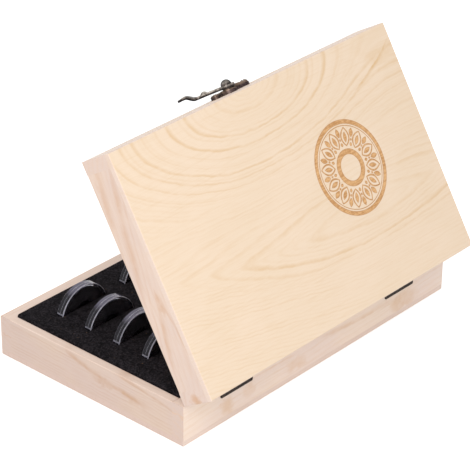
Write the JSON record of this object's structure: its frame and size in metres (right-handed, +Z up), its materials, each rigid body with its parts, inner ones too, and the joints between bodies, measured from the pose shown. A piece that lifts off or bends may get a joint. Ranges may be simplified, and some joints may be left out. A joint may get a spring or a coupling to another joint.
{
  "type": "coin display case",
  "caption": "Pine coin display case with a hinged lid, a swing hook latch, a black foam insert and upright round clear capsules that lift out",
  "frame": {"origin": "centre of the base's underside", "axes": "+X along the hinge line, towards the left end as pictured, -Y towards the hook, +Z up"},
  "size_m": [0.29, 0.2128, 0.2016],
  "materials": {
    "pine": "satin",
    "panel_pine": "satin",
    "foam": "matte",
    "clear_plastic": "gloss",
    "bronze": "satin"
  },
  "bodies": {
    "base": {"base_front_rail": "pine", "base_back_rail": "pine", "base_left_rail": "pine", "base_right_rail": "pine", "base_bottom_panel": "panel_pine", "foam_insert": "foam", "hinge_base_leaves": "bronze", "hinge_pins": "bronze", "stud_plate": "bronze", "base_screws": "bronze"},
    "lid": {"lid_front_rail": "pine", "lid_back_rail": "pine", "lid_left_rail": "pine", "lid_right_rail": "pine", "lid_top_panel": "panel_pine", "hinge_lid_leaves": "bronze", "hook_plate": "bronze", "hook_rivet": "bronze", "lid_screws": "bronze"},
    "hook_arm": {"hook": "bronze"},
    "coin_a1": {"capsule_a1": "clear_plastic", "gasket_a1": "foam"},
    "coin_a2": {"capsule_a2": "clear_plastic", "gasket_a2": "foam"},
    "coin_a3": {"capsule_a3": "clear_plastic", "gasket_a3": "foam"},
    "coin_a4": {"capsule_a4": "clear_plastic", "gasket_a4": "foam"},
    "coin_a5": {"capsule_a5": "clear_plastic", "gasket_a5": "foam"},
    "coin_b1": {"capsule_b1": "clear_plastic", "gasket_b1": "foam"},
    "coin_b2": {"capsule_b2": "clear_plastic", "gasket_b2": "foam"},
    "coin_b3": {"capsule_b3": "clear_plastic", "gasket_b3": "foam"},
    "coin_b4": {"capsule_b4": "clear_plastic", "gasket_b4": "foam"},
    "coin_b5": {"capsule_b5": "clear_plastic", "gasket_b5": "foam"},
    "coin_c1": {"capsule_c1": "clear_plastic", "gasket_c1": "foam"},
    "coin_c2": {"capsule_c2": "clear_plastic", "gasket_c2": "foam"},
    "coin_c3": {"capsule_c3": "clear_plastic", "gasket_c3": "foam"},
    "coin_c4": {"capsule_c4": "clear_plastic", "gasket_c4": "foam"},
    "coin_c5": {"capsule_c5": "clear_plastic", "gasket_c5": "foam"},
    "coin_d1": {"capsule_d1": "clear_plastic", "gasket_d1": "foam"},
    "coin_d2": {"capsule_d2": "clear_plastic", "gasket_d2": "foam"},
    "coin_d3": {"capsule_d3": "clear_plastic", "gasket_d3": "foam"},
    "coin_d4": {"capsule_d4": "clear_plastic", "gasket_d4": "foam"},
    "coin_d5": {"capsule_d5": "clear_plastic", "gasket_d5": "foam"}
  },
  "joints": [
    {"name": "lid_hinge", "type": "hinge", "parent": "base", "child": "lid", "pos_m": [0, 0.09105, 0.032], "axis": [-1, 0, 0], "range_deg": [-58.8, 121.2]},
    {"name": "hook_swing", "type": "hinge", "parent": "lid", "child": "hook_arm", "pos_m": [0.005, 0.00256, 0.1951], "axis": [0, -0.518, 0.8554], "range_deg": [-40, 140]},
    {"name": "lift_a1", "type": "slide", "parent": "base", "child": "coin_a1", "axis": [0, 0, 1], "range_m": [0, 0.04]},
    {"name": "lift_a2", "type": "slide", "parent": "base", "child": "coin_a2", "axis": [0, 0, 1], "range_m": [0, 0.04]},
    {"name": "lift_a3", "type": "slide", "parent": "base", "child": "coin_a3", "axis": [0, 0, 1], "range_m": [0, 0.04]},
    {"name": "lift_a4", "type": "slide", "parent": "base", "child": "coin_a4", "axis": [0, 0, 1], "range_m": [0, 0.04]},
    {"name": "lift_a5", "type": "slide", "parent": "base", "child": "coin_a5", "axis": [0, 0, 1], "range_m": [0, 0.04]},
    {"name": "lift_b1", "type": "slide", "parent": "base", "child": "coin_b1", "axis": [0, 0, 1], "range_m": [0, 0.04]},
    {"name": "lift_b2", "type": "slide", "parent": "base", "child": "coin_b2", "axis": [0, 0, 1], "range_m": [0, 0.04]},
    {"name": "lift_b3", "type": "slide", "parent": "base", "child": "coin_b3", "axis": [0, 0, 1], "range_m": [0, 0.04]},
    {"name": "lift_b4", "type": "slide", "parent": "base", "child": "coin_b4", "axis": [0, 0, 1], "range_m": [0, 0.04]},
    {"name": "lift_b5", "type": "slide", "parent": "base", "child": "coin_b5", "axis": [0, 0, 1], "range_m": [0, 0.04]},
    {"name": "lift_c1", "type": "slide", "parent": "base", "child": "coin_c1", "axis": [0, 0, 1], "range_m": [0, 0.04]},
    {"name": "lift_c2", "type": "slide", "parent": "base", "child": "coin_c2", "axis": [0, 0, 1], "range_m": [0, 0.04]},
    {"name": "lift_c3", "type": "slide", "parent": "base", "child": "coin_c3", "axis": [0, 0, 1], "range_m": [0, 0.04]},
    {"name": "lift_c4", "type": "slide", "parent": "base", "child": "coin_c4", "axis": [0, 0, 1], "range_m": [0, 0.04]},
    {"name": "lift_c5", "type": "slide", "parent": "base", "child": "coin_c5", "axis": [0, 0, 1], "range_m": [0, 0.04]},
    {"name": "lift_d1", "type": "slide", "parent": "base", "child": "coin_d1", "axis": [0, 0, 1], "range_m": [0, 0.04]},
    {"name": "lift_d2", "type": "slide", "parent": "base", "child": "coin_d2", "axis": [0, 0, 1], "range_m": [0, 0.04]},
    {"name": "lift_d3", "type": "slide", "parent": "base", "child": "coin_d3", "axis": [0, 0, 1], "range_m": [0, 0.04]},
    {"name": "lift_d4", "type": "slide", "parent": "base", "child": "coin_d4", "axis": [0, 0, 1], "range_m": [0, 0.04]},
    {"name": "lift_d5", "type": "slide", "parent": "base", "child": "coin_d5", "axis": [0, 0, 1], "range_m": [0, 0.04]}
  ]
}
